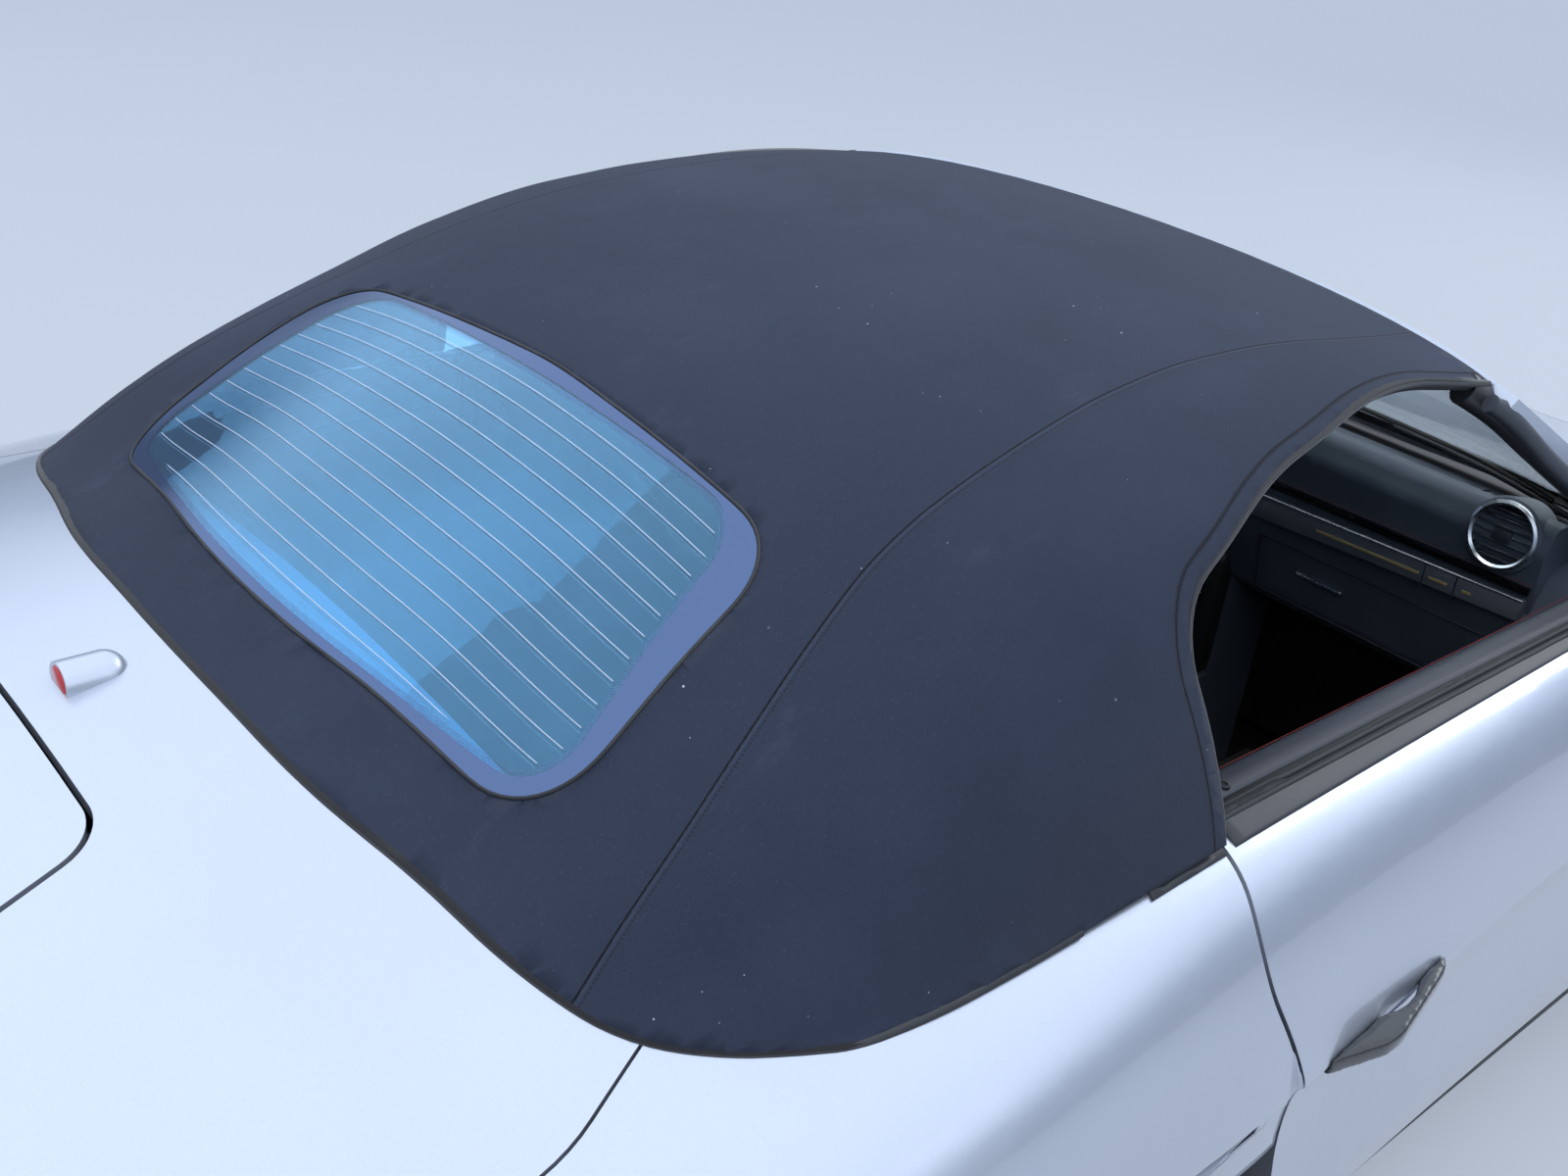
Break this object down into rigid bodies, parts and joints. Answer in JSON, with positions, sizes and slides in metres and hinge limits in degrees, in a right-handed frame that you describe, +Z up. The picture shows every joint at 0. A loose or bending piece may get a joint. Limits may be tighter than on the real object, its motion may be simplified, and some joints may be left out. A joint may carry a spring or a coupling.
{
  "type": "two-seat convertible car with soft top",
  "caption": "Low two-seat convertible car with its black fabric top up, silver body, heated rear window, and doors, lids and wheels that move.",
  "frame": {"origin": "on the floor under the middle of the car's bounding box", "axes": "+Z up; the front faces -Y; +X is the car's left side"},
  "size_m": [1.9584, 4.379, 1.2798],
  "materials": {
    "paint": "gloss",
    "top_fabric": "matte",
    "glass": "gloss",
    "lamp_clear": "gloss",
    "lamp_red": "gloss",
    "tyre_rubber": "matte",
    "wheel_alloy": "satin",
    "steel": "satin",
    "iron": "matte",
    "black_trim": "gloss",
    "black_plastic": "matte",
    "cabin_trim": "matte",
    "seat_leather": "satin"
  },
  "bodies": {
    "body": {"floor_pan": "black_plastic", "front_structure": "black_plastic", "rear_structure": "black_plastic", "engine_block": "iron", "front_bumper": "paint", "rear_bumper": "paint", "fender_left": "paint", "fender_right": "paint", "quarter_left": "paint", "quarter_right": "paint", "rear_deck": "paint", "headlamp_left": "lamp_clear", "headlamp_right": "lamp_clear", "tail_lamp_left": "lamp_red", "tail_lamp_right": "lamp_red", "soft_top": "top_fabric", "rear_window": "glass", "windshield_frame": "paint", "windshield_glass": "glass", "dashboard": "cabin_trim", "seat_left": "seat_leather", "seat_right": "seat_leather", "exhaust": "steel", "front_suspension": "steel", "rear_suspension_left": "steel", "rear_suspension_right": "steel"},
    "door_left_body": {"door_left": "paint", "door_handle_left": "black_trim", "mirror_left": "paint"},
    "door_right_body": {"door_right": "paint", "door_handle_right": "black_trim", "mirror_right": "paint"},
    "hood_body": {"hood": "paint"},
    "trunk_body": {"trunk_lid": "paint"},
    "knuckle_left": {"knuckle_front_left": "iron"},
    "knuckle_right": {"knuckle_front_right": "iron"},
    "steering_wheel_body": {"steering_wheel": "cabin_trim"},
    "wheel_front_left_body": {"wheel_front_left": "wheel_alloy", "tyre_front_left": "tyre_rubber"},
    "wheel_front_right_body": {"wheel_front_right": "wheel_alloy", "tyre_front_right": "tyre_rubber"},
    "wheel_rear_left_body": {"wheel_rear_left": "wheel_alloy", "tyre_rear_left": "tyre_rubber"},
    "wheel_rear_right_body": {"wheel_rear_right": "wheel_alloy", "tyre_rear_right": "tyre_rubber"}
  },
  "joints": [
    {"name": "door_left_hinge", "type": "hinge", "parent": "body", "child": "door_left_body", "pos_m": [0.826, -0.5775, 0.485], "axis": [0, 0, -1], "range_deg": [0, 60]},
    {"name": "door_right_hinge", "type": "hinge", "parent": "body", "child": "door_right_body", "pos_m": [-0.826, -0.5775, 0.485], "axis": [0, 0, 1], "range_deg": [0, 60]},
    {"name": "hood_hinge", "type": "hinge", "parent": "body", "child": "hood_body", "pos_m": [0, -0.8995, 0.812], "axis": [-1, 0, 0], "range_deg": [0, 55]},
    {"name": "trunk_hinge", "type": "hinge", "parent": "body", "child": "trunk_body", "pos_m": [0, 1.3185, 0.908], "axis": [1, 0, 0], "range_deg": [0, 60]},
    {"name": "steer_left", "type": "hinge", "parent": "body", "child": "knuckle_left", "pos_m": [0.725, -1.3275, 0.335], "axis": [0, 0, 1], "range_deg": [-32, 32]},
    {"name": "steer_right", "type": "hinge", "parent": "body", "child": "knuckle_right", "pos_m": [-0.725, -1.3275, 0.335], "axis": [0, 0, 1], "range_deg": [-32, 32]},
    {"name": "steering_wheel_turn", "type": "hinge", "parent": "body", "child": "steering_wheel_body", "pos_m": [0.37, -0.2895, 0.77], "axis": [0, 0.9135, 0.4067], "range_deg": [-448, 448]},
    {"name": "wheel_front_left_spin", "type": "hinge", "parent": "knuckle_left", "child": "wheel_front_left_body", "pos_m": [0.7575, -1.3275, 0.335], "axis": [1, 0, 0], "continuous": true},
    {"name": "wheel_front_right_spin", "type": "hinge", "parent": "knuckle_right", "child": "wheel_front_right_body", "pos_m": [-0.7575, -1.3275, 0.335], "axis": [1, 0, 0], "continuous": true},
    {"name": "wheel_rear_left_spin", "type": "hinge", "parent": "body", "child": "wheel_rear_left_body", "pos_m": [0.766, 1.1475, 0.347], "axis": [1, 0, 0], "continuous": true},
    {"name": "wheel_rear_right_spin", "type": "hinge", "parent": "body", "child": "wheel_rear_right_body", "pos_m": [-0.766, 1.1475, 0.347], "axis": [1, 0, 0], "continuous": true}
  ],
  "couplings": [
    {"joint": "steer_right", "follows": "steer_left", "ratio": 1},
    {"joint": "steering_wheel_turn", "follows": "steer_left", "ratio": 14}
  ]
}
